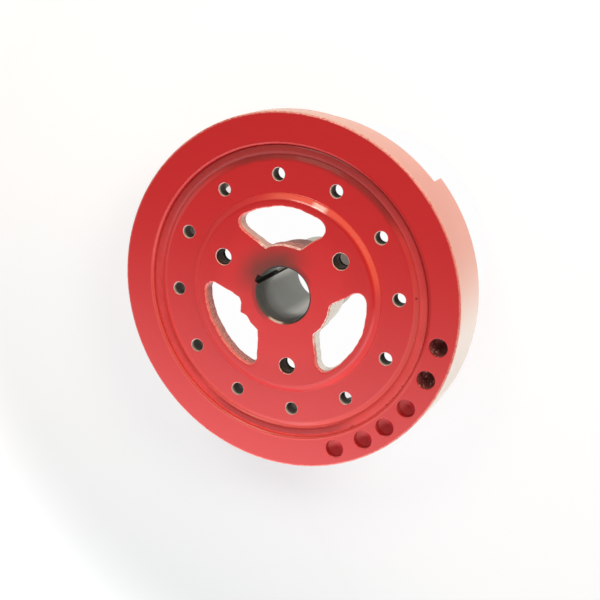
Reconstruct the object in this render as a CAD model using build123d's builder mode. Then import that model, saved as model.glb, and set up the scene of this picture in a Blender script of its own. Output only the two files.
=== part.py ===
from build123d import *
from math import asin, degrees, radians, tan
import os

# Harmonic balancer: an iron hub, a bonded rubber ring and a heavy inertia ring.
# Millimetres. The origin is the centre of the bore at the sleeve's rear end face.
# +Z runs along the crank axis, out of the front face. The first spoke lies at 30 degrees from +X.

# Along the axis
hub_length = 57.5          # sleeve end to pad face
pad_height = 3.0           # pad above the annulus
ring_proud = 1.0           # inertia ring above the annulus
ring_width = 35.5
web_thickness = 5.4        # at the annulus
boss_reach = 21.1          # behind the web
flange_setback = 1.0       # flange and rubber inside the ring's rear face
rubber_recess = 1.6        # rubber's bonded edges below the annulus
rubber_rear_recess = 0.8

# Across the axis
ring_diameter = 203.2
ring_thickness = 17.9      # wall of the inertia ring
rubber_thickness = 5.7
flange_thickness = 6.4
flange_draft = 1.2         # flange grows thinner to the rear by this much
face_hole_inset = 4.4      # hole centres inside the flange's inner wall
pad_inset = 10.2           # pad's edge inside the hole centres
window_inset = 7.6         # windows inside the pad's edge
boss_diameter = 52.0       # at its rear end
boss_draft = 2.0           # boss radius gained from its rear end to the web
sleeve_diameter = 44.4     # ground for the oil seal
bore_diameter = 31.6

# Spokes and windows
spoke_count = 3
spoke_angle = 30.0
window_turn = -1.6         # the cast windows sit slightly off the drilled holes
core_shift_x = 0.6         # and off the turned axis, as the sand core lay
core_shift_y = 0.45
spoke_half_width = 17.3    # at the boss
spoke_flare = 1.4          # gained on each side at the window's outer arc
window_outer_corner = 5.5
window_inner_corner = 1.8
nib_angle = 203.0          # casting nib on the boss, in one window
nib_height = 2.2
nib_half_width = 4.5

# Keyway
key_width = 4.76
key_depth = 2.7
key_angle = 149.5

# Drilled holes
pulley_circle = 82.0
pulley_hole = 8.6
pulley_countersink = 0.6
face_hole = 7.14
face_hole_count = 12
face_countersink = 0.5
drilling_inset = 9.5       # drilling centres inside the rim
drilling_diameter = 10.4
drill_point = 118.0
drillings = [              # angle, depth to the drill's shoulder
    (286.3, 3.4),
    (298.0, 3.6),
    (307.8, 4.2),
    (318.8, 4.4),
    (331.8, 10.0),
    (344.3, 11.0),
]

# Relief cut round the rear of the rim
relief_depth = 4.3
relief_land = 14.0         # full-size land left at the front
relief_start = 36.8
relief_span = 120.0

# Edges
bore_chamfer = 0.9
sleeve_chamfer = 1.5
pad_bevel = 1.9            # pad's edge, then the bevel's own two corners
pad_bevel_break = 0.6
shoulder_width = 4.0       # roll-off at the annulus's outer edge, in two slopes
shoulder_drop = 1.2
shoulder_knee_width = 1.8
shoulder_knee_drop = 0.35
ring_front_bevel = 0.9
ring_inner_chamfer = 1.1
ring_rear_chamfer = 1.0
cavity_bevel = 3.0
window_bevel = 0.6
rubber_crown = 0.9         # rubber stands up between its bonded edges at the front
rubber_crown_width = 2.7
rubber_dish = 0.9          # and is hollow between them at the rear
cut_margin = 5.0           # how far a cutter runs past the metal

# Derived
annulus_z = hub_length - pad_height
ring_front_z = annulus_z + ring_proud
ring_rear_z = ring_front_z - ring_width
web_rear_z = annulus_z - web_thickness
boss_rear_z = web_rear_z - boss_reach
flange_rear_z = ring_rear_z + flange_setback
rubber_front_z = annulus_z - rubber_recess
rubber_rear_z = flange_rear_z + rubber_rear_recess
relief_front_z = ring_front_z - relief_land
ring_radius = ring_diameter / 2
ring_inner_radius = ring_radius - ring_thickness
flange_radius = ring_inner_radius - rubber_thickness
flange_inner_radius = flange_radius - flange_thickness
rubber_middle_radius = ring_inner_radius - rubber_thickness / 2
face_circle_radius = flange_inner_radius - face_hole_inset
pad_radius = face_circle_radius - pad_inset
window_outer_radius = pad_radius - window_inset
boss_radius = boss_diameter / 2
boss_root_radius = boss_radius + boss_draft
sleeve_radius = sleeve_diameter / 2
bore_radius = bore_diameter / 2
relief_radius = ring_radius - relief_depth
drilling_radius = drilling_diameter / 2
drilling_circle_radius = ring_radius - drilling_inset
half_pitch = 180 / spoke_count
outer_half = half_pitch - degrees(asin((spoke_half_width + spoke_flare) / window_outer_radius))
inner_half = half_pitch - degrees(asin(spoke_half_width / boss_root_radius))


def edges_at(part, radius, height):
    """Circular edges round the axis, of this radius, at this height."""
    found = ShapeList()
    for edge in part.edges().filter_by(GeomType.CIRCLE):
        centre = edge.arc_center
        on_axis = abs(centre.X) < 0.01 and abs(centre.Y) < 0.01
        if on_axis and abs(edge.radius - radius) < 0.01 and abs(centre.Z - height) < 0.01:
            found.append(edge)
    return found


# One window's outline, centred on +X
with BuildSketch(Plane.XY) as window:
    with BuildLine():
        outer_arc = CenterArc((0, 0), window_outer_radius, -outer_half, 2 * outer_half)
        inner_arc = CenterArc((0, 0), boss_root_radius, -inner_half, 2 * inner_half)
        Line(outer_arc @ 0, inner_arc @ 0)
        Line(outer_arc @ 1, inner_arc @ 1)
    make_face()
    fillet(window.vertices().sort_by_distance((0, 0))[2:], window_outer_corner)
    fillet(window.vertices().sort_by_distance((0, 0))[:2], window_inner_corner)


with BuildPart() as hub:
    # Turned section: sleeve, boss, web, flange, annulus and pad
    with BuildSketch(Plane.XZ):
        with BuildLine():
            Polyline(
                (flange_radius - shoulder_width, annulus_z),
                (pad_radius, annulus_z),
                (pad_radius, hub_length),
                (bore_radius, hub_length),
                (bore_radius, 0),
                (sleeve_radius, 0),
                (sleeve_radius, boss_rear_z),
                (boss_radius, boss_rear_z),
                (boss_root_radius, web_rear_z),
                (flange_inner_radius, web_rear_z),
                (flange_inner_radius + flange_draft, flange_rear_z),
                (flange_radius, flange_rear_z),
                (flange_radius, annulus_z - shoulder_drop),
                (flange_radius - shoulder_knee_width, annulus_z - shoulder_knee_drop),
                close=True,
            )
        make_face()
    revolve(axis=Axis.Z)
    chamfer(edges_at(hub, boss_root_radius, web_rear_z), cavity_bevel)
    chamfer(edges_at(hub, flange_inner_radius, web_rear_z), cavity_bevel)
    chamfer(edges_at(hub, pad_radius, hub_length), pad_bevel)
    chamfer(edges_at(hub, pad_radius - pad_bevel, hub_length), pad_bevel_break)
    chamfer(edges_at(hub, pad_radius, hub_length - pad_bevel), pad_bevel_break)
    chamfer(edges_at(hub, sleeve_radius, 0), sleeve_chamfer)

    # Cast windows between the spokes, with softened front edges
    with BuildSketch(Plane.XY.offset(hub_length)):
        with Locations((core_shift_x, core_shift_y)):
            with PolarLocations(0, spoke_count, start_angle=spoke_angle + half_pitch + window_turn):
                add(window.sketch)
    extrude(amount=-(hub_length - web_rear_z + cavity_bevel), mode=Mode.SUBTRACT)
    pad_face = hub.faces().filter_by(GeomType.PLANE).sort_by(Axis.Z)[-1]
    for rim in pad_face.inner_wires():
        if rim.edges().filter_by(GeomType.LINE):
            chamfer(rim.edges(), window_bevel)

    # Casting nib left on the boss in one window
    with BuildSketch(Plane.XY.offset(web_rear_z).rotated((0, 0, nib_angle))):
        with BuildLine():
            Polyline(
                (boss_radius, -nib_half_width),
                (boss_root_radius + nib_height, 0),
                (boss_radius, nib_half_width),
                close=True,
            )
        make_face()
    extrude(amount=hub_length - web_rear_z - window_bevel)

    # Keyway, then the bore's mouths
    with BuildSketch(Plane.XY):
        Rectangle(
            bore_radius + key_depth,
            key_width,
            rotation=key_angle,
            align=(Align.MIN, Align.CENTER),
        )
    extrude(amount=hub_length, mode=Mode.SUBTRACT)
    chamfer(edges_at(hub, bore_radius, 0), bore_chamfer)
    chamfer(edges_at(hub, bore_radius, hub_length), bore_chamfer)

    # Pulley bolt holes through the spokes
    with Locations((0, 0, hub_length)):
        with PolarLocations(pulley_circle / 2, spoke_count, start_angle=spoke_angle):
            CounterSinkHole(
                pulley_hole / 2,
                pulley_hole / 2 + pulley_countersink,
                counter_sink_angle=90,
            )

    # Ring of holes through the annulus
    with Locations((0, 0, annulus_z)):
        with PolarLocations(face_circle_radius, face_hole_count):
            CounterSinkHole(
                face_hole / 2,
                face_hole / 2 + face_countersink,
                depth=hub_length,
                counter_sink_angle=90,
            )


with BuildPart() as elastomer_ring:
    # Bonded to the flange inside and to the inertia ring outside
    with BuildSketch(Plane.XZ):
        with BuildLine():
            Polyline(
                (flange_radius, rubber_rear_z),
                (flange_radius, rubber_front_z),
                (rubber_middle_radius - rubber_crown_width / 2, rubber_front_z + rubber_crown),
                (rubber_middle_radius + rubber_crown_width / 2, rubber_front_z + rubber_crown),
                (ring_inner_radius, rubber_front_z),
                (ring_inner_radius, rubber_rear_z),
                (rubber_middle_radius, rubber_rear_z + rubber_dish),
                close=True,
            )
        make_face()
    revolve(axis=Axis.Z)


with BuildPart() as inertia_ring:
    with BuildSketch(Plane.XZ):
        with BuildLine():
            Polyline(
                (ring_inner_radius, ring_rear_z),
                (ring_radius, ring_rear_z),
                (ring_radius, ring_front_z),
                (ring_inner_radius, ring_front_z),
                close=True,
            )
        make_face()
    revolve(axis=Axis.Z)
    chamfer(edges_at(inertia_ring, ring_radius, ring_front_z), ring_front_bevel)
    chamfer(edges_at(inertia_ring, ring_inner_radius, ring_front_z), ring_inner_chamfer)

    # Relief that unbalances the ring: the rear of the rim is cut back over one sector
    with BuildSketch(Plane.XY.offset(relief_front_z)):
        with BuildLine():
            relief_outer = CenterArc((0, 0), ring_radius + cut_margin, relief_start, relief_span)
            relief_inner = CenterArc((0, 0), relief_radius, relief_start, relief_span)
            Line(relief_outer @ 0, relief_inner @ 0)
            Line(relief_outer @ 1, relief_inner @ 1)
        make_face()
    extrude(amount=-(ring_width + cut_margin), mode=Mode.SUBTRACT)
    chamfer(edges_at(inertia_ring, ring_radius, ring_rear_z), ring_rear_chamfer)
    chamfer(edges_at(inertia_ring, relief_radius, ring_rear_z), ring_rear_chamfer)

    # Balance drillings in the front face, each with the drill's cone at its foot
    for drilling_angle, drilling_depth in drillings:
        with Locations((0, 0, ring_front_z)):
            with PolarLocations(drilling_circle_radius, 1, start_angle=drilling_angle):
                Hole(drilling_radius, drilling_depth)
        with Locations((0, 0, ring_front_z - drilling_depth)):
            with PolarLocations(drilling_circle_radius, 1, start_angle=drilling_angle):
                Cone(
                    drilling_radius,
                    0,
                    drilling_radius / tan(radians(drill_point / 2)),
                    rotation=(180, 0, 0),
                    align=(Align.CENTER, Align.CENTER, Align.MIN),
                    mode=Mode.SUBTRACT,
                )


os.makedirs("parts", exist_ok=True)
hub.part.label = "hub"
elastomer_ring.part.label = "elastomer_ring"
inertia_ring.part.label = "inertia_ring"
export_step(hub.part, "parts/hub.step")
export_step(elastomer_ring.part, "parts/elastomer_ring.step")
export_step(inertia_ring.part, "parts/inertia_ring.step")
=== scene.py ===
from functools import cached_property
from math import asin, atan2, cos, degrees, hypot, pi, radians, sin, tan

import bmesh
import bpy
from mathutils import Matrix, Vector


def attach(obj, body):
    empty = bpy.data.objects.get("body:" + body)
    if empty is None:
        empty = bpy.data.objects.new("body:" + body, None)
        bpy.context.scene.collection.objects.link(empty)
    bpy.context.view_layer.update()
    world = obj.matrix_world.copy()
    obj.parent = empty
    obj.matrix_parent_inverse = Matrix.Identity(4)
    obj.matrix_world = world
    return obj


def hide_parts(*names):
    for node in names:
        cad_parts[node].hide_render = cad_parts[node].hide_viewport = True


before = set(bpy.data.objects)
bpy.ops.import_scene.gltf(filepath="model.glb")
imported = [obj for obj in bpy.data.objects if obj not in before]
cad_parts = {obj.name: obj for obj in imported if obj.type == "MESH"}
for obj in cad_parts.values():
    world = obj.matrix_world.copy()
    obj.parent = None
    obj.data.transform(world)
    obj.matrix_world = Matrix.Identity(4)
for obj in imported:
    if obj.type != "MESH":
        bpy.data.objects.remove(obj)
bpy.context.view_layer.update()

MM = 0.001

# Sizes in millimetres, all from the axis or from the sleeve's rear end
RIM = 101.6
RING_INSIDE = 83.7
RING_FRONT = 55.5
RING_REAR = 20.0
FLANGE = 78.0
FLANGE_INSIDE = 71.6
FLANGE_REAR = 21.0
BOND_FRONT = 53.2
BOND_REAR = 21.8
ANNULUS = 54.5
PAD = 57.0
PAD_FACE = 57.5
WEB_REAR = 49.1
BAND_REAR = 46.5
BAND_INSIDE = 61.8
BOSS_ROOT = 28.0
BOSS = 26.0
BOSS_REAR = 28.0
SLEEVE = 22.2
BORE = 15.8
BORE_MOUTH = 16.7

# Keyway
KEY_ANGLE = 149.5
KEY_WIDTH = 4.76
KEY_FLOOR = 18.5

# Spokes and windows, which sit a little off the turned axis, as the sand core lay
SPOKE_ANGLE = 30.0
SPOKE_HALF_OUTSIDE = 18.7
SPOKE_HALF_INSIDE = 17.3
WINDOW_OUTSIDE = 49.4
WINDOW_CORNER = 5.2
WINDOW_INNER_CORNER = 1.8
WINDOW_TURN = -1.6
CORE_SHIFT = (0.6, 0.45)
NIB_ANGLE = 203.0
NIB_HEIGHT = 2.3
NIB_HALF_WIDTHS = (4.8, 3.6)

# Drilled holes
FACE_CIRCLE = 67.2
FACE_HOLE = 3.57
PULLEY_CIRCLE = 41.0
PULLEY_HOLE = 4.3
PULLEY_BOSS_RISE = 2.9
THREAD_GROOVE = 0.42
THREAD_PITCH = 1.058
DRILLING_CIRCLE = 92.1
DRILLING = 5.2
DRILLINGS = ((286.3, 3.4), (298.0, 3.6), (307.8, 4.2), (318.8, 4.4), (331.8, 10.0), (344.3, 11.0))

# Relief round the rear of the rim
RELIEF = 97.3
RELIEF_FRONT = 41.5
RELIEF_START = 36.8
RELIEF_SPAN = 120.0

# How far a cutter runs past the metal
PAST = 3.0


# ---- Finishes ----


class Wire:
    """One shader socket that adds, multiplies and compares like a number."""

    def __init__(self, bench, socket):
        self.bench = bench
        self.socket = socket

    def maths(self, operation, *values):
        return self.bench.node("ShaderNodeMath", {"operation": operation}, values)

    def __add__(self, other):
        return self.maths("ADD", self, other)

    def __sub__(self, other):
        return self.maths("SUBTRACT", self, other)

    def __rsub__(self, other):
        return self.maths("SUBTRACT", other, self)

    def __mul__(self, other):
        return self.maths("MULTIPLY", self, other)

    def __truediv__(self, other):
        return self.maths("DIVIDE", self, other)

    def __rtruediv__(self, other):
        return self.maths("DIVIDE", other, self)

    def __mod__(self, other):
        return self.maths("FLOORED_MODULO", self, other)

    def __abs__(self):
        return self.maths("ABSOLUTE", self)

    __radd__ = __add__
    __rmul__ = __mul__

    def at_most(self, other):
        return self.maths("MINIMUM", self, other)

    def at_least(self, other):
        return self.maths("MAXIMUM", self, other)


class Bench:
    """The node tree of one finish, or of the studio's surround."""

    def __init__(self, holder):
        holder.use_nodes = True
        self.holder = holder
        self.tree = holder.node_tree
        self.tree.nodes.clear()

    def node(self, kind, settings=None, values=(), out=0):
        """A node of this kind; settings first, then its sockets by number or name."""
        made = self.tree.nodes.new(kind)
        for key, value in (settings or {}).items():
            setattr(made, key, value)
        pairs = values.items() if isinstance(values, dict) else enumerate(values)
        for key, value in pairs:
            self.feed(made.inputs[key], value)
        return Wire(self, made.outputs[out]) if made.outputs else None

    def feed(self, socket, value):
        if isinstance(value, Wire):
            self.tree.links.new(value.socket, socket)
        elif isinstance(value, tuple) and len(value) < len(socket.default_value):
            socket.default_value = (*value, 1.0)
        else:
            socket.default_value = value

    # Where a point lies: millimetres, and degrees round the axis

    @cached_property
    def spot(self):
        return self.node("ShaderNodeTexCoord", out="Object")

    @cached_property
    def sides(self):
        return [side * (1 / MM) for side in self.split(self.spot)]

    @cached_property
    def z(self):
        return self.sides[2]

    @cached_property
    def radius(self):
        return self.length(*self.sides[:2])

    @cached_property
    def angle(self):
        x, y = self.sides[:2]
        return self.node("ShaderNodeMath", {"operation": "ARCTAN2"}, (y, x)) * (180 / pi)

    @cached_property
    def upward(self):
        """How far the surface faces the front: 1 front, 0 wall, -1 rear."""
        return self.split(self.node("ShaderNodeNewGeometry", out="Normal"))[2]

    def split(self, vector):
        return [self.node("ShaderNodeSeparateXYZ", {}, (vector,), out=side) for side in range(3)]

    def length(self, x, y):
        flat = self.node("ShaderNodeCombineXYZ", {}, (x, y, 0.0))
        return self.node("ShaderNodeVectorMath", {"operation": "LENGTH"}, (flat,), out="Value")

    def from_point(self, x0, y0):
        x, y = self.sides[:2]
        return self.length(x - x0, y - y0)

    def from_hole(self, circle, count, start):
        """Distance from the nearest of a circle of holes."""
        pitch = 360.0 / count
        turn = (((self.angle - (start - pitch / 2)) % pitch) - pitch / 2) * (pi / 180)
        along = self.radius * self.node("ShaderNodeMath", {"operation": "COSINE"}, (turn,)) - circle
        across = self.radius * self.node("ShaderNodeMath", {"operation": "SINE"}, (turn,))
        return self.length(along, across)

    def from_angle(self, middle):
        """Degrees away from this direction round the axis."""
        return abs(((self.angle - (middle - 180.0)) % 360.0) - 180.0)

    def toward(self, middle, fade, full):
        """1 within full degrees of a direction round the axis, 0 past fade degrees."""
        return self.ramp(self.from_angle(middle), fade, full)

    # What colours are made with

    def noise(self, size, detail=4.0, rough=0.55, warp=0.0, stretch=None):
        """Cloudy noise from 0 to 1, whose grain is about size millimetres."""
        where = self.spot
        if stretch:
            where = self.node("ShaderNodeMapping", {}, {"Vector": where, "Scale": stretch})
        values = {"Scale": 1 / (size * MM), "Detail": detail, "Roughness": rough, "Distortion": warp}
        return self.node("ShaderNodeTexNoise", {}, {"Vector": where, **values})

    def ramp(self, value, low, high):
        """0 up to low, 1 from high on; low may be the larger."""
        limits = (low, high, 0.0, 1.0) if low <= high else (high, low, 1.0, 0.0)
        return self.node("ShaderNodeMapRange", {"interpolation_type": "SMOOTHSTEP"}, (value, *limits))

    def mix(self, share, under, over):
        """Colours: under where share is 0, over where it is 1."""
        return self.node("ShaderNodeMix", {"data_type": "RGBA"}, {0: share, 6: under, 7: over}, out=2)

    def slide(self, share, under, over):
        """Numbers: under where share is 0, over where it is 1."""
        return share * (over - under) + under

    def bump(self, height, depth, under=None):
        """Height from 0 to 1 stands for this many millimetres."""
        values = {"Strength": 1.0, "Distance": depth * MM, "Height": height}
        if under is not None:
            values["Normal"] = under
        return self.node("ShaderNodeBump", {}, values)

    def finish(self, color, roughness, metal=0.0, coat=0.0, normal=None, coat_roughness=0.09):
        values = {"Base Color": color, "Roughness": roughness, "Metallic": metal}
        values.update({"Coat Weight": coat, "Coat Roughness": coat_roughness})
        if normal is not None:
            values["Normal"] = normal
        skin = self.node("ShaderNodeBsdfPrincipled", {}, values)
        self.node("ShaderNodeOutputMaterial", {}, {"Surface": skin})
        return self.holder


CAST = (0.15, 0.115, 0.10)
CAST_DARK = (0.045, 0.034, 0.03)
CAST_PALE = (0.40, 0.34, 0.30)
ENAMEL = (0.515, 0.0125, 0.0145)
ENAMEL_DEEP = (0.485, 0.0140, 0.0155)
ENAMEL_THIN = (0.42, 0.0150, 0.0150)
PALE_METAL = (0.72, 0.66, 0.60)
WHITE = (1.0, 1.0, 1.0)
BLACK = (0.0, 0.0, 0.0)


def paint_waves(bench):
    """The enamel's slow waves and its fine peel."""
    slow = bench.bump(bench.noise(26.0, detail=1.0), 0.10)
    return bench.bump(bench.noise(2.6, detail=2.0), 0.006, slow)


def hub_enamel(bench, cloud, grit, patch):
    """The hub's enamel: lighter towards the bore, with painted light, painted highlights and a painted glint
    on the pad's edge, painted shade round the bore's mouth, and an oily smudge.
    """
    z, radius, upward = bench.z, bench.radius, bench.upward
    paint = bench.mix(cloud, ENAMEL, ENAMEL_DEEP)
    bright = bench.ramp(radius, 47.0, 32.0) * bench.ramp(z, 56.5, 57.0)
    paint = bench.mix(bright, paint, (0.55, 0.0175, 0.0195))
    # Painted shade round the bore's mouth, at the lower left and upper right
    bore_mouth_shade = bench.toward(195.0, 48.0, 20.0).at_least(bench.toward(48.0, 34.0, 12.0))
    paint = bench.mix(bore_mouth_shade * bench.ramp(radius, 20.2, 18.0) * 0.7, paint, (0.20, 0.012, 0.014))

    # Painted light on the pad's edge: painted highlights at the upper and lower right, lighter paint where
    # the edge lies in shade, and one painted glint
    pad_edge = bench.ramp(upward, 0.97, 0.90) * bench.ramp(z, 54.5, 54.8)
    pad_edge = pad_edge * bench.ramp(radius, 52.6, 53.6) * bench.ramp(radius, 57.9, 57.5)
    paint = bench.mix(pad_edge * bench.toward(55.0, 75.0, 40.0), paint, (0.68, 0.026, 0.015))
    paint = bench.mix(pad_edge * bench.toward(322.0, 42.0, 20.0), paint, (0.64, 0.018, 0.018))
    painted_glint = pad_edge * bench.toward(64.0, 6.0, 2.0) * bench.ramp(radius + (grit - 0.5) * 1.5, 56.8, 56.0)
    paint = bench.mix(painted_glint * 0.8, paint, (0.95, 0.74, 0.72))
    painted_light_pad_edge = pad_edge * bench.toward(142.0, 54.0, 28.0)
    paint = bench.mix(painted_light_pad_edge, paint, (0.70, 0.018, 0.017))

    # An oily smudge lies above the bore
    smudge = bench.ramp(bench.from_angle(113.0) + (patch - 0.5) * 14.0, 82.0, 22.0)
    smudge = smudge * bench.ramp(radius + (cloud - 0.5) * 5.0, 37.0, 16.0) * bench.ramp(upward, 0.5, 0.9)
    paint = bench.mix(smudge * 0.87, paint, (0.070, 0.036, 0.030))
    return paint, painted_light_pad_edge, smudge


def hub_roll_off(bench, paint, cloud, grit):
    """The annulus's outer edge: dull at the top with painted shade there, and a painted sheen round the rest.
    """
    radius, upward = bench.radius, bench.upward
    facing = bench.ramp(upward, 0.1, 0.3)
    top_side = bench.toward(75.0, 70.0, 35.0) * bench.ramp(bench.z, 52.0, 52.6)
    dull = bench.ramp(radius, 74.8, 76.0) * facing
    rolled = dull
    dull = dull * top_side.at_least(bench.toward(325.0, 52.0, 34.0))
    # Painted shade across the top of the roll-off
    roll_off_shade = bench.ramp(radius + (cloud - 0.5) * 1.5, 73.6, 76.8) * top_side * 0.68
    paint = bench.mix(roll_off_shade, paint, (0.15, 0.014, 0.014))
    # Painted sheen round the rest of the roll-off, in three tones
    roll_off_sheen = bench.toward(172.0, 70.0, 45.0).at_least(bench.toward(5.0, 34.0, 16.0))
    paint = bench.mix(rolled * roll_off_sheen, paint, (0.60, 0.038, 0.036))
    paint = bench.mix(rolled * bench.toward(246.0, 46.0, 26.0), paint, (0.48, 0.050, 0.047))
    paint = bench.mix(rolled * bench.toward(322.0, 56.0, 34.0), paint, (0.55, 0.068, 0.064))

    # Two small nicks: one through to the primer, one filled with dirt
    ragged = (grit - 0.5) * 1.2
    pale_nick = bench.ramp(bench.from_point(75.2, -22.6) + ragged, 1.0, 0.5)
    dark_nick = bench.ramp(bench.from_point(76.6, 1.1) + ragged, 0.9, 0.5)
    paint = bench.mix(pale_nick * 0.6, paint, (0.85, 0.62, 0.58))
    paint = bench.mix(dark_nick * 0.8, paint, (0.20, 0.010, 0.010))
    return paint, dull


def hub_iron(bench, wall, grit, patch):
    """Cast iron where the spray did not reach: its colour, where it lies, where it is turned or polished, and
    the painted light and shade on it.
    """
    z, radius = bench.z, bench.radius
    iron = bench.mix(bench.ramp(grit, 0.35, 0.68), CAST_DARK, CAST)
    iron = bench.mix(bench.ramp(patch, 0.50, 0.72), iron, CAST_PALE)
    # Painted shade: the rear cavity behind the web is darker
    cavity = bench.ramp(z, 49.4, 48.9) * bench.ramp(radius, 30.5, 32.0)
    iron = bench.mix(cavity * 0.55, iron, (0.035, 0.028, 0.024))
    # Painted light: the boss's turned side at the right is pale
    turned_lit_side = bench.toward(-15.0, 56.0, 38.0) * bench.ramp(radius, 30.5, 29.0)
    iron = bench.mix(turned_lit_side * 0.85, iron, (0.80, 0.77, 0.74))
    spray = bench.ramp(patch + (z - 50.0) * 0.030, 0.44, 0.62)
    iron = bench.mix(spray * 0.55, iron, ENAMEL_THIN)

    # The windows' walls and the boss's side are dusty with dry paint
    window_wall = wall * bench.ramp(radius, 25.5, 26.5) * bench.ramp(radius, 53.0, 51.5)
    window_wall = window_wall * bench.ramp(z, 44.5, 46.0) * bench.ramp(z + (grit - 0.5) * 1.6, 56.9, 56.1)
    dusty_iron = bench.mix(bench.ramp(grit, 0.34, 0.62), (0.26, 0.11, 0.10), (0.78, 0.40, 0.37))
    boss_side = bench.toward(92.0, 60.0, 44.0) * bench.ramp(radius, 30.5, 29.0)
    iron = bench.mix((window_wall * 0.9).at_least(boss_side * 0.6), iron, dusty_iron)
    upper_left = bench.toward(130.0, 28.0, 20.0) * window_wall * bench.ramp(patch, 0.25, 0.45)
    iron = bench.mix(upper_left * 0.85, iron, (0.70, 0.55, 0.51))
    # Painted light: a near-white patch on the right window's wall, which is also polished
    polished_and_lit = bench.toward(305.0, 34.0, 22.0) * window_wall * bench.ramp(patch, 0.22, 0.40)
    polished_and_lit = polished_and_lit.at_least(turned_lit_side * wall)
    iron = bench.mix(polished_and_lit, iron, (0.97, 1.0, 1.0))
    # Red paint at the windows' front edges, with a painted highlight at their ends next to the boss
    brim = bench.ramp(z + (patch - 0.5) * 2.0, 54.6, 55.6) * window_wall
    iron = bench.mix(brim, iron, bench.mix(inmost(bench), (0.80, 0.19, 0.165), (1.0, 0.80, 0.75)))

    behind = bench.ramp(z, 49.4, 48.9) * bench.ramp(radius, 73.6, 73.2)
    return iron, window_wall.at_least(behind), polished_and_lit


def inmost(bench):
    """1 at the windows' ends next to the boss."""
    return bench.ramp(bench.radius, 34.0, 31.0)


def drilled_iron(bench, patch, rings):
    """Bright at a hole's mouth and dark further in, a painted shade, with the drill's fine rings."""
    drilled = bench.mix(rings, (0.34, 0.31, 0.28), (0.52, 0.49, 0.46))
    return bench.mix(bench.ramp(bench.z + (patch - 0.5) * 1.2, 53.7, 51.6), drilled, (0.055, 0.050, 0.045))


def bored_steel(bench, cloud, rings):
    """The bore, with painted light on its sides and rear, painted shade towards its mouth, and a dark chamfer
    with a painted glint at one place.
    """
    z = bench.z
    steel = bench.mix(rings, (0.27, 0.295, 0.295), (0.36, 0.39, 0.39))
    painted_light_sides = bench.ramp(bench.from_angle(208.0), 26.0, 54.0) * bench.ramp(z, 46.0, 32.0)
    steel = bench.mix(painted_light_sides * 0.9, steel, (0.80, 0.82, 0.82))
    # Painted shade towards the bore's mouth
    shade = bench.ramp(z + (cloud - 0.5) * 6.0, 34.0, 54.0) * bench.toward(211.0, 112.0, 66.0)
    steel = bench.mix(shade * 0.95, steel, (0.045, 0.047, 0.047))
    chamfer = bench.ramp(z, 56.2, 56.7)
    steel = bench.mix(chamfer, steel, (0.07, 0.065, 0.06))
    # A painted glint on the chamfer
    return bench.mix(chamfer * bench.toward(250.0, 20.0, 10.0), steel, (0.42, 0.38, 0.36))


def hub_lips(bench, color, patch, face_hole, pulley_hole):
    """Painted highlights on the rounded lips of the windows, and worn paint with a painted highlight on the
    holes' lips.
    """
    z, radius, upward = bench.z, bench.radius, bench.upward
    inside = inmost(bench)
    # Painted highlight along the windows' rounded lips
    window_lip_highlight = bench.ramp(upward, 0.985, 0.93) * bench.ramp(z, 55.6, 56.3) * bench.ramp(radius, 25.5, 26.5)
    window_lip_highlight = window_lip_highlight * bench.ramp(radius, 52.6, 51.6) * bench.ramp(patch, 0.30, 0.55)
    window_lip_highlight_tone = bench.mix(inside, (0.92, 0.30, 0.25), (1.0, 0.76, 0.70))
    color = bench.mix(window_lip_highlight * bench.slide(inside, 0.75, 0.95), color, window_lip_highlight_tone)

    face_lip = bench.ramp(face_hole, 4.4, 4.2) * bench.ramp(z, 52.5, 53.5)
    pulley_lip = bench.ramp(pulley_hole, 5.6, 5.3) * bench.ramp(z, 56.4, 56.7)
    mouth = bench.ramp(upward, 0.97, 0.85) * bench.ramp(upward, 0.05, 0.25)
    hole_lip_wear_and_highlight = face_lip.at_least(pulley_lip) * mouth * bench.ramp(patch, 0.25, 0.5)
    return bench.mix(hole_lip_wear_and_highlight * 0.8, color, PALE_METAL)


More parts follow.
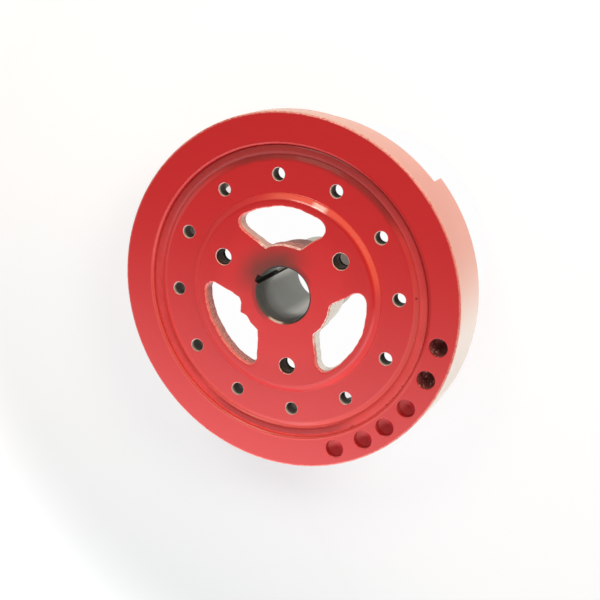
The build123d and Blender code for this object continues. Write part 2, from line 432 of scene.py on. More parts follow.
def hub_finish():
    bench = Bench(bpy.data.materials.new("hub_enamel_and_iron"))
    z, radius = bench.z, bench.radius
    wall = bench.ramp(abs(bench.upward), 0.62, 0.38)
    cloud = bench.noise(7.0, detail=5.0)
    grit = bench.noise(0.9, detail=5.0, rough=0.65)
    patch = bench.noise(2.2, detail=4.0, rough=0.6, warp=0.6)
    rings = bench.noise(1.0, detail=2.0, stretch=(0.25, 0.25, 3.0))

    paint, painted_light_pad_edge, smudge = hub_enamel(bench, cloud, grit, patch)
    paint, dull = hub_roll_off(bench, paint, cloud, grit)
    iron, rough_iron, polished_and_lit = hub_iron(bench, wall, grit, patch)
    color = bench.mix(rough_iron, paint, iron)

    # Machined places
    face_hole = bench.from_hole(FACE_CIRCLE, 12, 0.0)
    pulley_hole = bench.from_hole(PULLEY_CIRCLE, 3, SPOKE_ANGLE)
    in_face_hole = bench.ramp(face_hole, 4.3, 4.1) * wall
    in_pulley_hole = bench.ramp(pulley_hole, 5.4, 5.2) * wall
    key = bench.toward(KEY_ANGLE, 9.5, 9.0) * bench.ramp(radius, 18.9, 18.7) * bench.ramp(z, 57.45, 57.35)
    bore = bench.ramp(radius, 16.95, 16.75).at_least(key * wall)
    sleeve = bench.ramp(radius, 22.8, 22.5) * bench.ramp(z, 28.2, 27.9) * bench.ramp(radius, 16.9, 17.1)
    # The sleeve is darker on the side under the first spoke
    sleeve_dark_side = bench.toward(SPOKE_ANGLE, 32.0, 18.0)
    color = bench.mix(in_face_hole, color, drilled_iron(bench, patch, rings))
    # Painted shade: the pulley holes' walls are near black
    color = bench.mix(in_pulley_hole, color, (0.012, 0.010, 0.009))
    color = bench.mix(bore, color, bored_steel(bench, cloud, rings))
    # Painted shade: the keyway is near black
    color = bench.mix(key, color, (0.02, 0.018, 0.016))
    color = bench.mix(sleeve, color, bench.mix(sleeve_dark_side, (0.62, 0.62, 0.61), (0.17, 0.16, 0.145)))
    color = hub_lips(bench, color, patch, face_hole, pulley_hole)

    bare = rough_iron.at_least(in_face_hole).at_least(in_pulley_hole).at_least(bore).at_least(sleeve)
    roughness = bench.slide(bare, 0.34, 0.62)
    roughness = bench.slide(polished_and_lit, roughness, 0.25)
    roughness = bench.slide(sleeve, roughness, 0.22)
    roughness = bench.slide(bore, roughness, 0.42)
    roughness = roughness + smudge * 0.25 + dull * 0.3
    metal = (bore * 0.55).at_least(sleeve * 0.95).at_least(in_face_hole * 0.4).at_least(polished_and_lit * 0.9)
    coat = (1 - bare) * (1 - smudge * 0.65) * (1 - dull * 0.9) * (1 - painted_light_pad_edge * 0.4)
    normal = bench.bump(grit * rough_iron, 0.35, paint_waves(bench))
    normal = bench.bump(rings * (bore + in_face_hole), 0.02, normal)
    return bench.finish(color, roughness, metal, coat, normal)


def painted_grazing_sheen(bench, paint):
    """Painted sheen on the rim's wall, paler where the wall turns from the eye and whiter at the lower right.
    """
    edge_on = bench.node("ShaderNodeLayerWeight", {}, {"Blend": 0.5}, out="Facing")
    grazing_sheen = bench.ramp(edge_on, 0.42, 0.80) * bench.ramp(bench.upward, 0.5, 0.1)
    grazing_sheen = grazing_sheen * bench.ramp(bench.radius, 95.0, 96.5)
    whiter = bench.toward(300.0, 76.0, 44.0)
    grazing_sheen_tone = bench.mix(whiter, (1.0, 0.68, 0.57), (0.96, 0.97, 1.0))
    return bench.mix(grazing_sheen * bench.slide(whiter, 0.62, 1.0), paint, grazing_sheen_tone)


def drilling_paint(bench, color, cloud, grit):
    """Painted shade in the drillings, painted light on their inner side, and bare dark iron at the foot of
    the two deep ones.
    """
    z, radius = bench.z, bench.radius
    in_drilling = bench.ramp(abs(radius - DRILLING_CIRCLE), 5.6, 5.4) * bench.toward(315.0, 34.0, 33.0)
    in_drilling = in_drilling * bench.ramp(z, RING_FRONT - 0.25, RING_FRONT - 0.9) * bench.ramp(z, 36.0, 37.0)
    color = bench.mix(in_drilling, color, bench.mix(grit, (0.24, 0.010, 0.014), (0.36, 0.018, 0.024)))
    # Painted light on the drillings' inner side
    drilling_lit_side = in_drilling * bench.ramp(radius + (cloud - 0.5) * 3.0, 93.0, 89.0)
    color = bench.mix(drilling_lit_side * 0.7, color, (0.52, 0.085, 0.085))
    # Painted shade: the two deep drillings are darker
    deep = in_drilling * bench.toward(338.0, 14.0, 12.0)
    color = bench.mix(deep, color, bench.mix(grit, (0.12, 0.022, 0.020), (0.22, 0.045, 0.040)))
    foot = deep * bench.ramp(z, 49.5, 47.5)
    color = bench.mix(foot, color, bench.mix(grit, (0.10, 0.028, 0.024), (0.22, 0.070, 0.062)))
    # Painted light on the deep ones' inner side
    color = bench.mix(deep * bench.ramp(radius, 90.5, 88.0) * 0.5, color, (0.36, 0.10, 0.10))
    speck = bench.ramp(bench.noise(1.1, detail=0.0), 0.68, 0.72) * deep
    return bench.mix(speck * 0.8, color, (0.75, 0.62, 0.60)), in_drilling


def ring_finish():
    bench = Bench(bpy.data.materials.new("ring_enamel"))
    z, radius = bench.z, bench.radius
    cloud = bench.noise(8.0, detail=5.0)
    grit = bench.noise(0.8, detail=4.0, rough=0.65)
    chip_cloud = bench.noise(1.7, detail=5.0, rough=0.7)
    color = painted_grazing_sheen(bench, bench.mix(cloud, ENAMEL, ENAMEL_DEEP))

    # Paint knocked off the front edge of the rim
    edge = bench.ramp(radius, 100.35, 101.1) * bench.ramp(z, 52.8, 54.4)
    knocked = bench.toward(70.0, 26.0, 12.0)
    chips = bench.ramp(chip_cloud + knocked * 0.10, 0.66, 0.70) * edge * knocked.at_least(0.2)
    color = bench.mix(chips, color, bench.mix(grit, (0.62, 0.54, 0.44), (0.86, 0.80, 0.68)))

    # Along the inner edge: a painted sheen at the lower left, paler grit, and painted shade at the right
    inner = bench.ramp(radius, 85.9, 85.0)
    color = bench.mix(inner * bench.toward(243.0, 104.0, 80.0) * 0.8, color, (0.60, 0.056, 0.050))
    color = bench.mix(inner * bench.ramp(grit, 0.45, 0.7) * 0.35, color, (0.66, 0.12, 0.11))
    shaded = inner * bench.toward(18.0, 48.0, 28.0)
    color = bench.mix(shaded * 0.9, color, (0.38, 0.010, 0.011))

    # Painted highlight along the outer edge, strongest towards the top
    outer_edge_highlight = bench.ramp(radius, 100.3, 101.2) * bench.ramp(z, 53.6, 54.6) * bench.ramp(chip_cloud, 0.30, 0.55)
    color = bench.mix(outer_edge_highlight * bench.slide(bench.toward(85.0, 62.0, 40.0), 0.5, 0.8), color, (0.92, 0.46, 0.38))
    color, in_drilling = drilling_paint(bench, color, cloud, grit)

    roughness = bench.slide(chips.at_least(in_drilling), 0.34, 0.6)
    coat = 1 - chips.at_least(in_drilling * 0.9).at_least(shaded * 0.9)
    normal = bench.bump(grit * inner, 0.10, paint_waves(bench))
    normal = bench.bump(1 - chips, 0.12, normal)
    return bench.finish(color, roughness, 0.0, coat, normal)


def rubber_finish():
    """Black rubber, painted over at the front, with ragged paint and dark gaps along both edges, and painted
    light and shade on its front.
    """
    bench = Bench(bpy.data.materials.new("painted_rubber"))
    grit = bench.noise(0.7, detail=5.0, rough=0.65)
    patch = bench.noise(3.0, detail=4.0, rough=0.6)
    front = bench.ramp(bench.z, 50.0, 52.0)
    ragged = bench.radius + (patch - 0.5) * 0.9
    paint = bench.mix(patch, (0.45, 0.026, 0.027), (0.54, 0.038, 0.038))
    # Lighter at the lower right, darker towards the bottom
    paint = bench.mix(bench.toward(328.0, 42.0, 28.0), paint, (0.55, 0.045, 0.042))
    paint = bench.mix(bench.toward(264.0, 38.0, 22.0) * 0.85, paint, (0.27, 0.014, 0.015))
    # Painted shade: darker and browner across the top
    top_shade_tone = bench.mix(patch, (0.25, 0.018, 0.018), (0.36, 0.026, 0.024))
    paint = bench.mix(bench.toward(92.0, 82.0, 35.0), paint, top_shade_tone)

    # Painted light along the edges at the lower left; dark gaps elsewhere, with painted shade that makes them
    # darker at the top and right
    outside = bench.ramp(ragged, 82.4, 83.2)
    inside = bench.ramp(ragged, 79.4, 78.6) * bench.toward(258.0, 44.0, 26.0)
    inner_gap = bench.ramp(ragged, 79.1, 78.3) * bench.slide(bench.toward(78.0, 70.0, 35.0), 0.10, 0.50)
    outer_gap = outside * (bench.toward(110.0, 60.0, 45.0) * 0.05 + bench.toward(18.0, 38.0, 20.0) * 0.30)
    paint = bench.mix(outside * bench.toward(248.0, 96.0, 70.0) * 0.8, paint, (0.50, 0.066, 0.060))
    paint = bench.mix(inside, paint, (0.66, 0.075, 0.068))
    color = bench.mix(inner_gap * (1 - inside), paint, (0.13, 0.012, 0.012))
    color = bench.mix(outer_gap, color, (0.16, 0.006, 0.007))
    dots = bench.ramp(abs(bench.radius - 83.0), 0.9, 0.5) * bench.toward(318.0, 40.0, 28.0)
    dots = dots * bench.ramp(bench.noise(1.3, detail=3.0), 0.57, 0.63)
    color = bench.mix(dots * 0.75, color, (0.10, 0.010, 0.012))
    black = bench.mix(grit, (0.012, 0.012, 0.012), (0.03, 0.03, 0.03))
    color = bench.mix(front, black, color)
    return bench.finish(color, bench.slide(grit, 0.40, 0.60), 0.0, front * 0.45, bench.bump(grit, 0.15), 0.2)


def thread_finish():
    bench = Bench(bpy.data.materials.new("thread_steel"))
    grit = bench.noise(0.5, detail=3.0)
    color = bench.mix(grit, (0.020, 0.017, 0.015), (0.07, 0.062, 0.055))
    return bench.finish(color, bench.slide(grit, 0.35, 0.55), 0.5)


# ---- Outlines, from the axis outwards or seen from the front ----


def at(radius, turn):
    """The point at this radius and angle in degrees."""
    return (radius * cos(radians(turn)), radius * sin(radians(turn)))


def corner_points(before, here, after, rounding, steps):
    """The points that round off one corner of an outline."""
    first = Vector(before) - Vector(here)
    second = Vector(after) - Vector(here)
    half = first.angle(second) / 2
    reach = rounding / tan(half)
    start = Vector(here) + first.normalized() * reach
    stop = Vector(here) + second.normalized() * reach
    middle = Vector(here) + (first.normalized() + second.normalized()).normalized() * (rounding / sin(half))
    swing = (start - middle).angle_signed(stop - middle)
    points = []
    for step in range(steps + 1):
        spot = start - middle
        spot.rotate(Matrix.Rotation(-swing * step / steps, 2))
        points.append(tuple(middle + spot))
    return points


def rounded(corners, steps):
    """A closed profile whose corners (radius, height, rounding) are rounded."""
    line = []
    for index, (r, z, rounding) in enumerate(corners):
        before, after = corners[index - 1][:2], corners[(index + 1) % len(corners)][:2]
        line += corner_points(before, (r, z), after, rounding, steps)
    return line


def rounded_mouth(reach, top, steps=4):
    """Offsets and heights of a hole's rounded front edge, from the front down."""
    rows = [(reach, top + 2.0)]
    for step in range(steps + 1):
        turn = pi / 2 * step / steps
        rows.append((reach * (1 - sin(turn)), top - reach * (1 - cos(turn))))
    return rows


def grown(outline, reach):
    """The outline, moved outwards by this much."""
    line = []
    for k, (x, y) in enumerate(outline):
        before, after = Vector(outline[k - 1]), Vector(outline[(k + 1) % len(outline)])
        along = (after - before).normalized()
        line.append((x + along.y * reach, y - along.x * reach))
    return line


def between(start, stop):
    """Points at about every 0.9 mm of a straight stretch, without its ends."""
    gap = (Vector(stop) - Vector(start)).length
    parts = max(1, round(gap / 0.9))
    return [tuple(Vector(start).lerp(Vector(stop), k / parts)) for k in range(1, parts)]


def swept(start, stop, step, point):
    """Points along an arc, at every step of its angle between two corners."""
    points = []
    turn = start + step
    while (stop - turn) * step > 0:
        points.append(point(turn))
        turn += step
    return points


def window_outline(trims, nib):
    """A window's outline, its middle along +X, counter-clockwise; trims draw in its two ends."""
    half_pitch = 60.0
    outer_half = half_pitch - degrees(asin(SPOKE_HALF_OUTSIDE / WINDOW_OUTSIDE))
    inner_half = half_pitch - degrees(asin(SPOKE_HALF_INSIDE / BOSS_ROOT))

    def rim(turn):
        trim = trims[0] if turn < 0 else trims[1]
        return at(WINDOW_OUTSIDE - trim * (turn / outer_half) ** 2, turn)

    def boss(turn):
        if nib is None:
            return at(BOSS_ROOT, turn)
        away = abs(turn - nib) * radians(1) * BOSS_ROOT
        width = NIB_HALF_WIDTHS[0] if turn < nib else NIB_HALF_WIDTHS[1]
        return at(BOSS_ROOT + NIB_HEIGHT * max(0.0, 1 - away / width), turn)

    def turn_of(point):
        return degrees(atan2(point[1], point[0]))

    a, b = rim(-outer_half), rim(outer_half)
    c, d = at(BOSS_ROOT, inner_half), at(BOSS_ROOT, -inner_half)
    corner_a = corner_points(d, a, rim(-outer_half + 9), WINDOW_CORNER, 10)
    corner_b = corner_points(rim(outer_half - 9), b, c, WINDOW_CORNER, 10)
    corner_c = corner_points(b, c, at(BOSS_ROOT, inner_half - 5), WINDOW_INNER_CORNER, 5)
    corner_d = corner_points(at(BOSS_ROOT, -inner_half + 5), d, a, WINDOW_INNER_CORNER, 5)
    outer_arc = swept(turn_of(corner_a[-1]), turn_of(corner_b[0]) - 0.6, 1.0, rim)
    inner_arc = swept(turn_of(corner_c[-1]), turn_of(corner_d[0]) + 0.8, -1.2, boss)
    sides = between(corner_b[-1], corner_c[0]), between(corner_d[-1], corner_a[0])
    return corner_a + outer_arc + corner_b + sides[0] + corner_c + inner_arc + corner_d + sides[1]


def as_cast(outline, middle_angle, seed):
    """The outline turned into place, as the sand core lay, with the casting's slight unevenness."""
    placed = []
    count = len(outline)
    for k, (x, y) in enumerate(outline):
        before, after = Vector(outline[k - 1]), Vector(outline[(k + 1) % count])
        out = (after - before).normalized()
        out = Vector((out.y, -out.x))
        t = 2 * pi * k / count
        wave = 0.14 * sin(5 * t + seed) + 0.10 * sin(11 * t + 2.3 * seed) + 0.07 * sin(23 * t + 4.1 * seed)
        spot = Vector((x, y)) + out * wave
        spot.rotate(Matrix.Rotation(radians(middle_angle), 2))
        placed.append((spot.x + CORE_SHIFT[0], spot.y + CORE_SHIFT[1]))
    return placed


# ---- Bodies ----


def turned(profile, segments, middle=(0.0, 0.0), closed=True):
    """A ring or plug turned from a profile; an open profile starts and ends on the axis."""
    shape = bmesh.new()
    rows = []
    for r, z in profile:
        if r < 1e-6:
            spots = [middle]
        else:
            turns = [2 * pi * k / segments for k in range(segments)]
            spots = [(middle[0] + r * cos(turn), middle[1] + r * sin(turn)) for turn in turns]
        rows.append([shape.verts.new((x * MM, y * MM, z * MM)) for x, y in spots])
    pairs = zip(rows, rows[1:] + rows[:1]) if closed else zip(rows, rows[1:])
    for low, high in pairs:
        for k in range(segments):
            n = (k + 1) % segments
            ring = [low[k % len(low)], low[n % len(low)], high[n % len(high)], high[k % len(high)]]
            corners = list(dict.fromkeys(ring))
            if len(corners) > 2:
                shape.faces.new(corners)
    bmesh.ops.recalc_face_normals(shape, faces=shape.faces)
    return shape


def lofted(rows):
    """A plug through closed rows of points in millimetres, capped at both ends."""
    shape = bmesh.new()
    rows = [[shape.verts.new((x * MM, y * MM, z * MM)) for x, y, z in row] for row in rows]
    for low, high in zip(rows, rows[1:]):
        for k in range(len(low)):
            n = (k + 1) % len(low)
            shape.faces.new((low[k], low[n], high[n], high[k]))
    shape.faces.new(rows[0])
    shape.faces.new(rows[-1])
    bmesh.ops.recalc_face_normals(shape, faces=shape.faces)
    return shape


def stacked(outlines, levels):
    """A plug whose outline changes from level to level."""
    return lofted([[(x, y, z) for x, y in outline] for outline, z in zip(outlines, levels)])


def to_object(shape, name):
    mesh = bpy.data.meshes.new(name)
    shape.to_mesh(mesh)
    shape.free()
    made = bpy.data.objects.new(name, mesh)
    bpy.context.scene.collection.objects.link(made)
    return made


def joined(shapes, name):
    whole = bmesh.new()
    for shape in shapes:
        part = bpy.data.meshes.new("part")
        shape.to_mesh(part)
        shape.free()
        whole.from_mesh(part)
        bpy.data.meshes.remove(part)
    return to_object(whole, name)


def settle(piece):
    """Turns the piece's modifiers into its mesh."""
    bpy.context.view_layer.update()
    seen = piece.evaluated_get(bpy.context.evaluated_depsgraph_get())
    mesh = bpy.data.meshes.new_from_object(seen)
    old = piece.data
    piece.modifiers.clear()
    piece.data = mesh
    mesh.name = piece.name
    bpy.data.meshes.remove(old)


def cut(piece, cutter, operation="DIFFERENCE"):
    knife = piece.modifiers.new("cut", "BOOLEAN")
    knife.operation = operation
    knife.solver = "EXACT"
    knife.object = cutter
    settle(piece)
    spare = cutter.data
    bpy.data.objects.remove(cutter)
    bpy.data.meshes.remove(spare)


def smooth(piece, angle=38.0):
    shape = bmesh.new()
    shape.from_mesh(piece.data)
    bmesh.ops.remove_doubles(shape, verts=shape.verts, dist=0.002 * MM)
    bmesh.ops.dissolve_degenerate(shape, edges=shape.edges, dist=0.001 * MM)
    shape.to_mesh(piece.data)
    shape.free()
    for face in piece.data.polygons:
        face.use_smooth = True
    piece.data.set_sharp_from_angle(angle=radians(angle))
    even = piece.modifiers.new("even", "WEIGHTED_NORMAL")
    even.mode = "FACE_AREA"
    even.weight = 100
    even.keep_sharp = True
    settle(piece)


# ---- Pieces and their cutters ----


def hole(radius, top, bottom, mouth, middle):
    rows = rounded_mouth(mouth, top)
    line = [(0.0, rows[0][1])] + [(radius + grow, z) for grow, z in rows] + [(radius, bottom), (0.0, bottom)]
    return turned(line, 40, middle, closed=False)


def drilling(angle, depth):
    rows = rounded_mouth(0.3, RING_FRONT, 3)
    foot = RING_FRONT - depth
    point = 1.7 if depth < 6 else 3.0
    line = [(0.0, rows[0][1])] + [(DRILLING + grow, z) for grow, z in rows]
    line += [(DRILLING, foot + 0.3), (DRILLING - 0.15, foot), (0.6, foot - point + 0.1), (0.0, foot - point)]
    return turned(line, 48, at(DRILLING_CIRCLE, angle), closed=False)


def window_cutter(middle_angle, seed, trims, nib=None):
    outline = as_cast(window_outline(trims, nib), middle_angle, seed)
    rows = rounded_mouth(0.75, PAD_FACE)
    outlines = [grown(outline, grow) for grow, z in rows] + [outline, outline]
    levels = [z for grow, z in rows] + [WEB_REAR + 0.6, WEB_REAR - 3.05]
    return stacked(outlines, levels)


def keyway_cutter():
    half = KEY_WIDTH / 2
    outline = [(0.0, -half), (KEY_FLOOR - 0.3, -half), (KEY_FLOOR, -half + 0.3)]
    outline += [(KEY_FLOOR, half - 0.3), (KEY_FLOOR - 0.3, half), (0.0, half)]
    turn = radians(KEY_ANGLE)
    placed = [(x * cos(turn) - y * sin(turn), x * sin(turn) + y * cos(turn)) for x, y in outline]
    return stacked([placed, placed], [-PAST, PAD_FACE + PAST])


def pulley_boss(angle):
    """A low cast boss behind one pulley hole."""
    foot = WEB_REAR - PULLEY_BOSS_RISE
    line = [(0.0, foot), (6.6, foot), (7.1, foot + 0.15), (7.4, foot + 0.5), (8.2, WEB_REAR + 0.3)]
    line += [(8.2, WEB_REAR + 1.5), (0.0, WEB_REAR + 1.5)]
    return turned(line, 48, at(PULLEY_CIRCLE, angle), closed=False)


def relief_cutter():
    """The relief's profile, swept over its share of the rim, with a small step at the rear."""
    step = 0.8
    profile = [
        (RELIEF, RELIEF_FRONT),
        (RELIEF, RING_REAR + step),
        (RELIEF - step, RING_REAR),
        (RELIEF - step, RING_REAR - PAST),
        (RIM + PAST, RING_REAR - PAST),
        (RIM + PAST, RELIEF_FRONT),
    ]
    parts = 120
    turns = [RELIEF_START + RELIEF_SPAN * k / parts for k in range(parts + 1)]
    return lofted([[(*at(r, turn), z) for r, z in profile] for turn in turns])


def make_hub():
    profile = [
        (BORE_MOUTH, PAD_FACE, 0.25),
        (53.8, PAD_FACE, 4.0),
        (56.8, 55.2, 1.2),
        (PAD, ANNULUS, 0.5),
        (75.5, ANNULUS, 3.0),
        (FLANGE, BOND_FRONT, 0.35),
        (FLANGE, FLANGE_REAR, 0.4),
        (FLANGE_INSIDE + 1.2, FLANGE_REAR, 1.2),
        (FLANGE_INSIDE, BAND_REAR, 3.0),
        (BAND_INSIDE, BAND_REAR, 1.2),
        (BAND_INSIDE - 1.6, WEB_REAR, 0.8),
        (BOSS_ROOT, WEB_REAR, 3.0),
        (BOSS, BOSS_REAR, 1.2),
        (SLEEVE, BOSS_REAR, 0.8),
        (SLEEVE, 1.5, 0.4),
        (20.7, 0.0, 0.4),
        (BORE_MOUTH, 0.0, 0.2),
        (BORE, 0.9, 0.2),
        (BORE, 56.6, 0.25),
    ]
    hub = to_object(turned(rounded(profile, 5), 320), "hub_casting")
    spokes = [SPOKE_ANGLE + 120.0 * k for k in range(3)]
    cut(hub, joined([pulley_boss(spoke) for spoke in spokes], "hub_bosses"), "UNION")

    windows = [spoke + 60.0 + WINDOW_TURN for spoke in spokes]
    plugs = [
        window_cutter(windows[0], 0.7, (1.7, 0.0)),
        window_cutter(windows[1], 2.9, (0.0, 0.0), nib=NIB_ANGLE - windows[1]),
        window_cutter(windows[2], 5.1, (0.6, 1.2)),
        keyway_cutter(),
    ]
    foot = WEB_REAR - PULLEY_BOSS_RISE - PAST
    plugs += [hole(FACE_HOLE, ANNULUS, foot, 0.55, at(FACE_CIRCLE, 30.0 * k)) for k in range(12)]
    bored = PULLEY_HOLE + THREAD_GROOVE
    plugs += [hole(bored, PAD_FACE, foot, 0.4, at(PULLEY_CIRCLE, spoke)) for spoke in spokes]
    cut(hub, joined(plugs, "hub_plugs"))
    smooth(hub)
    return hub


def make_ring():
    profile = [
        (RING_INSIDE, RING_REAR, 0.5),
        (RIM, RING_REAR, 1.0),
        (RIM, RING_FRONT, 0.9),
        (RING_INSIDE, RING_FRONT, 1.3),
    ]
    ring = to_object(turned(rounded(profile, 5), 360), "ring_casting")
    plugs = [drilling(angle, depth) for angle, depth in DRILLINGS] + [relief_cutter()]
    cut(ring, joined(plugs, "ring_plugs"))
    smooth(ring)
    return ring


def make_rubber():
    """The bonded band: crowned and slightly wavy at the front, hollow at the rear."""
    width = RING_INSIDE - FLANGE
    line = [(FLANGE, BOND_REAR), (FLANGE, BOND_FRONT)]
    for k in range(1, 12):
        share = k / 12
        line.append((FLANGE + width * share, BOND_FRONT + 0.80 * (1 - (2 * share - 1) ** 4)))
    line += [(RING_INSIDE, BOND_FRONT), (RING_INSIDE, BOND_REAR)]
    for k in range(1, 8):
        share = 1 - k / 8
        line.append((FLANGE + width * share, BOND_REAR + 0.9 * sin(pi * share)))
    shape = turned(line, 360)
    for vert in shape.verts:
        turn = atan2(vert.co.y, vert.co.x)
        radius = hypot(vert.co.x, vert.co.y) / MM
        inside = min(1.0, min(radius - FLANGE, RING_INSIDE - radius) / 1.2)
        if inside > 0:
            wave = 0.5 * sin(9 * turn + 1.0) + 0.3 * sin(23 * turn + 2.0) + 0.2 * sin(41 * turn)
            vert.co.z += 0.10 * wave * inside * MM
    rubber = to_object(shape, "rubber_ring")
    smooth(rubber)
    return rubber


def thread_tree():
    """Geometry nodes: a screw thread in each of a circle of holes."""
    tree = bpy.data.node_groups.new("threads", "GeometryNodeTree")
    face = tree.interface
    face.new_socket("Geometry", in_out="INPUT", socket_type="NodeSocketGeometry")
    for name in ("Circle", "First hole", "Radius", "Depth", "Length", "Turns", "Foot"):
        face.new_socket(name, in_out="INPUT", socket_type="NodeSocketFloat")
    face.new_socket("Holes", in_out="INPUT", socket_type="NodeSocketInt")
    face.new_socket("Finish", in_out="INPUT", socket_type="NodeSocketMaterial")
    face.new_socket("Geometry", in_out="OUTPUT", socket_type="NodeSocketGeometry")

    def add(kind, values):
        """A node of this kind, its sockets linked or set by name."""
        made = tree.nodes.new(kind)
        for name, value in values.items():
            if isinstance(value, bpy.types.NodeSocket):
                tree.links.new(value, made.inputs[name])
            else:
                made.inputs[name].default_value = value
        return made.outputs[0] if made.outputs else None

    given = tree.nodes.new("NodeGroupInput").outputs
    circle = add("GeometryNodeMeshCircle", {"Radius": given["Circle"], "Vertices": given["Holes"]})
    lift = add("ShaderNodeCombineXYZ", {"Z": given["Foot"]})
    turn = add("ShaderNodeCombineXYZ", {"Z": given["First hole"]})
    placed = add("GeometryNodeTransform", {"Geometry": circle, "Translation": lift, "Rotation": turn})
    radii = {"Start Radius": given["Radius"], "End Radius": given["Radius"]}
    rise = {"Rotations": given["Turns"], "Height": given["Length"], "Resolution": 32}
    spiral = add("GeometryNodeCurveSpiral", {**radii, **rise})
    ridge = add("GeometryNodeCurvePrimitiveCircle", {"Radius": given["Depth"], "Resolution": 4})
    sweep = add("GeometryNodeCurveToMesh", {"Curve": spiral, "Profile Curve": ridge, "Fill Caps": True})
    spread = add("GeometryNodeInstanceOnPoints", {"Points": placed, "Instance": sweep})
    real = add("GeometryNodeRealizeInstances", {"Geometry": spread})
    dressed = add("GeometryNodeSetMaterial", {"Geometry": real, "Material": given["Finish"]})
    add("NodeGroupOutput", {"Geometry": dressed})
    return tree


def make_threads(finish):
    mesh = bpy.data.meshes.new("pulley_hole_threads")
    piece = bpy.data.objects.new("pulley_hole_threads", mesh)
    bpy.context.scene.collection.objects.link(piece)
    tree = thread_tree()
    maker = piece.modifiers.new("threads", "NODES")
    maker.node_group = tree
    foot = WEB_REAR - PULLEY_BOSS_RISE + 0.3
    length = PAD_FACE - 0.8 - foot
    sizes = {
        "Circle": PULLEY_CIRCLE * MM,
        "Holes": 3,
        "First hole": radians(SPOKE_ANGLE),
        "Radius": (PULLEY_HOLE + THREAD_GROOVE) * MM,
        "Depth": THREAD_GROOVE * MM,
        "Length": length * MM,
        "Turns": length / THREAD_PITCH,
        "Foot": foot * MM,
        "Finish": finish,
    }
    for item in tree.interface.items_tree:
        if item.in_out == "INPUT" and item.name in sizes:
            maker[item.identifier] = sizes[item.name]
    settle(piece)
    for face in piece.data.polygons:
        face.use_smooth = False
    return piece


def dress(piece, finish, slot, *nodes):
    piece.data.materials.clear()
    piece.data.materials.append(finish)
    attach(piece, "root")
    if nodes:
        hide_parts(*nodes)


# ---- Studio, in metres, with the floor's spots in millimetres ----

BEHIND_PART = (27.0, 16.5)
BEHIND_WINDOWS = (-25.0, -15.0)
LOW_LAMP = (-0.14, -0.42, 0.26)
LOW_LIGHT = 0.072
FLOOR_LIGHT = 0.60
WARM = (1.0, 0.90, 0.80)


def pale_floor():
    """White to the eye, evened out under the low lamp, with the part's shadows left on it except under the
    part, where painted light takes them out.
    """
    bench = Bench(bpy.data.materials.new("pale_floor"))
    x, y = bench.sides[:2]
    seen = bench.node("ShaderNodeLightPath", out="Is Camera Ray")
    mirrored = bench.node("ShaderNodeLightPath", out="Is Glossy Ray")
    passed = bench.node("ShaderNodeLightPath", out="Is Transmission Ray")

    # Painted light: under the part, and where the windows and holes look, the floor is plain white, with the
    # part's shadow left out
    beneath = bench.ramp(bench.from_point(*BEHIND_PART), 77.0, 71.0)
    beneath = beneath.at_least(bench.ramp(bench.from_point(*BEHIND_WINDOWS), 60.0, 52.0))

    # The brighter the lamps make a spot, the less of its own white it adds
    reach = bench.node("ShaderNodeVectorMath", {"operation": "DISTANCE"}, (bench.spot, LOW_LAMP), out="Value")
    light = FLOOR_LIGHT + LOW_LIGHT / (reach * reach * reach)
    matt = bench.slide(bench.toward(-20.0, 90.0, 30.0), 0.55, 0.22).at_most(0.92 / light)
    own = (0.985 - light * matt).at_least(0.0).at_most(0.96)
    own = bench.slide(bench.ramp(bench.radius, 240.0, 420.0), own, 0.85)
    own = seen * bench.slide(beneath, own, 0.985)
    # Painted shadow in reflections: the floor seen in the enamel is warm and darker towards the lower left
    glow = mirrored * bench.slide(bench.ramp(x + y * 0.6, -60.0, -150.0), 0.80, 0.30)
    own = own.at_least(glow).at_least(passed * 0.95)
    hidden = (seen * beneath).at_least(mirrored).at_least(passed)
    tone = bench.mix(own, BLACK, bench.mix(mirrored, WHITE, WARM))
    color = bench.mix(seen, (0.90, 0.90, 0.90), bench.mix(matt, BLACK, (1.0, 1.055, 1.085)))
    color = bench.mix(hidden, color, BLACK)
    values = {"Base Color": color, "Roughness": 1.0, "Specular IOR Level": 0.0}
    values.update({"Emission Color": tone, "Emission Strength": 1.0})
    skin = bench.node("ShaderNodeBsdfPrincipled", {}, values)
    bench.node("ShaderNodeOutputMaterial", {}, {"Surface": skin})
    return bench.holder


def lay_floor():
    shape = bmesh.new()
    bmesh.ops.create_grid(shape, x_segments=1, y_segments=1, size=6.0)
    floor = to_object(shape, "floor")
    floor.data.materials.append(pale_floor())


def hang_lamp(name, place, aim, size, watts, tint=WHITE):
    lamp = bpy.data.lights.new(name, "AREA")
    lamp.shape = "RECTANGLE"
    lamp.size, lamp.size_y = size
    lamp.energy = watts
    lamp.color = tint
    held = bpy.data.objects.new(name, lamp)
    bpy.context.scene.collection.objects.link(held)
    held.location = place
    held.rotation_euler = (Vector(aim) - Vector(place)).to_track_quat("-Z", "Y").to_euler()
    return held


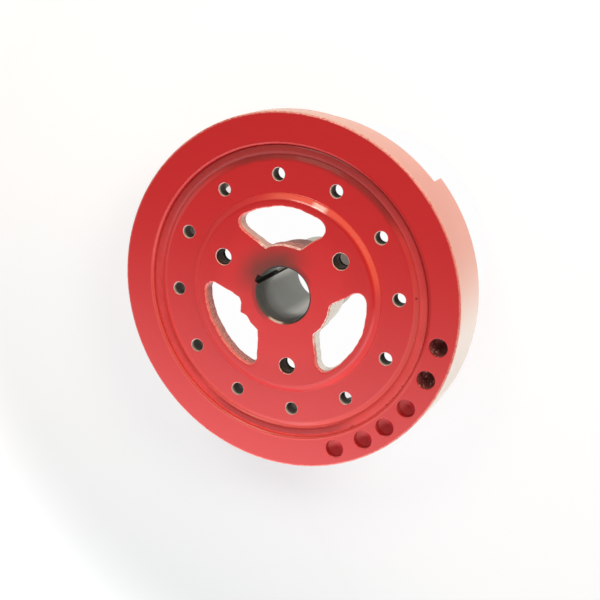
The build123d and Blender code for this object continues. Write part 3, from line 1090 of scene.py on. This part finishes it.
def light_surround():
    """A bright low surround, warm behind the part, a darker ceiling, and white for the eye."""
    world = bpy.data.worlds.new("studio")
    bpy.context.scene.world = world
    bench = Bench(world)
    x, y, z = bench.split(bench.node("ShaderNodeTexCoord", out="Generated"))
    height = z.at_least(0.05)
    right, up = x / height, y / height
    low = bench.ramp(z, 0.78, 0.66)
    table = bench.ramp(up + right * 0.12, -0.24, -0.54)
    warm = low * bench.ramp(y + x * 0.35, 0.04, 0.34) * bench.ramp(x, -0.62, -0.38)
    tone = bench.mix(table, (0.11, 0.11, 0.11), (1.75, 1.75, 1.75))
    tone = bench.mix(low, tone, bench.mix(bench.ramp(x, -0.55, -0.35), (0.45, 0.45, 0.45), (0.7, 0.7, 0.7)))
    tone = bench.mix(warm, tone, (2.1, 1.30, 0.80))
    tone = bench.mix(bench.node("ShaderNodeLightPath", out="Is Diffuse Ray") * 0.70, tone, BLACK)
    tone = bench.mix(bench.node("ShaderNodeLightPath", out="Is Camera Ray"), tone, WHITE)
    sky = bench.node("ShaderNodeBackground", {}, {"Color": tone, "Strength": 1.0})
    bench.node("ShaderNodeOutputWorld", {}, {"Surface": sky})


def hang_lamps():
    """One lamp that the enamel mirrors and three that only light it."""
    hang_lamp("top_lamp", (-0.09, 0.65, 0.80), (0, 0, 0.05), (0.34, 0.34), 2.4, WARM)
    side = hang_lamp("side_lamp", (0.66, 0.44, 0.66), (0, 0, 0.05), (0.30, 0.30), 2.6, WARM)
    rim = hang_lamp("rim_lamp", (0.80, 0.46, 0.26), (0.1, 0.06, 0.04), (0.4, 0.3), 1.7, (1.0, 0.92, 0.84))
    low = hang_lamp("low_lamp", LOW_LAMP, (0, -0.02, 0.05), (0.30, 0.25), 3.2)
    low.data.use_shadow = False
    for lamp in (side, rim, low):
        lamp.visible_glossy = False


def set_camera():
    eye = bpy.data.cameras.new("camera")
    eye.lens = 75.0
    eye.sensor_width = 36.0
    eye.clip_end = 50.0
    held = bpy.data.objects.new("camera", eye)
    bpy.context.scene.collection.objects.link(held)
    held.matrix_world = Matrix(
        (
            (0.914516, -0.051546, 0.401244, 0.28721),
            (-0.050329, 0.969647, 0.239273, 0.16298),
            (-0.401400, -0.239010, 0.884170, 0.66774),
            (0.0, 0.0, 0.0, 1.0),
        )
    )
    bpy.context.scene.camera = held


dress(make_hub(), hub_finish(), "hub_paint", "hub")
dress(make_ring(), ring_finish(), "ring_paint", "inertia_ring")
dress(make_rubber(), rubber_finish(), "elastomer", "elastomer_ring")
steel = thread_finish()
dress(make_threads(steel), steel, "hub_paint")
lay_floor()
light_surround()
hang_lamps()
set_camera()
bpy.context.scene.view_settings.view_transform = "Standard"
